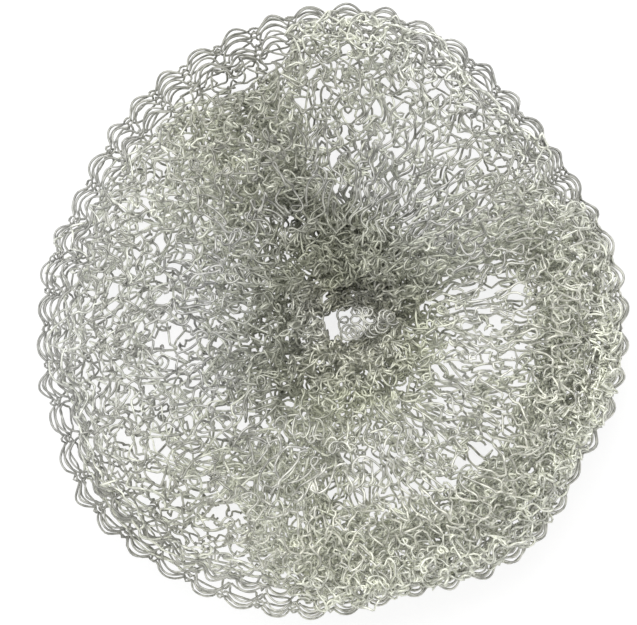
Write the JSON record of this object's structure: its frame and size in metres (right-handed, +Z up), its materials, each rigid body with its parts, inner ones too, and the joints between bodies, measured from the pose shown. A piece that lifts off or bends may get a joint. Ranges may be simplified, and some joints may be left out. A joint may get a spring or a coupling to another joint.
{
  "type": "knitted steel wire scrubber",
  "caption": "Round puffy scouring pad of knitted steel wire, rolled in on itself and gathered at the middle, with a scalloped open-loop rim.",
  "frame": {"origin": "on the ground under the middle of the pad's box", "axes": "+Z up out of the upper face, +X to the right and +Y to the top of the pictured view from above"},
  "size_m": [0.0794, 0.0824, 0.0249],
  "materials": {
    "steel_wire": "bright zinc-coated steel wire, satin with sharp glints, slightly olive where it lies deep"
  },
  "bodies": {
    "root": {"knitted_pad": "steel_wire"}
  },
  "joints": []
}
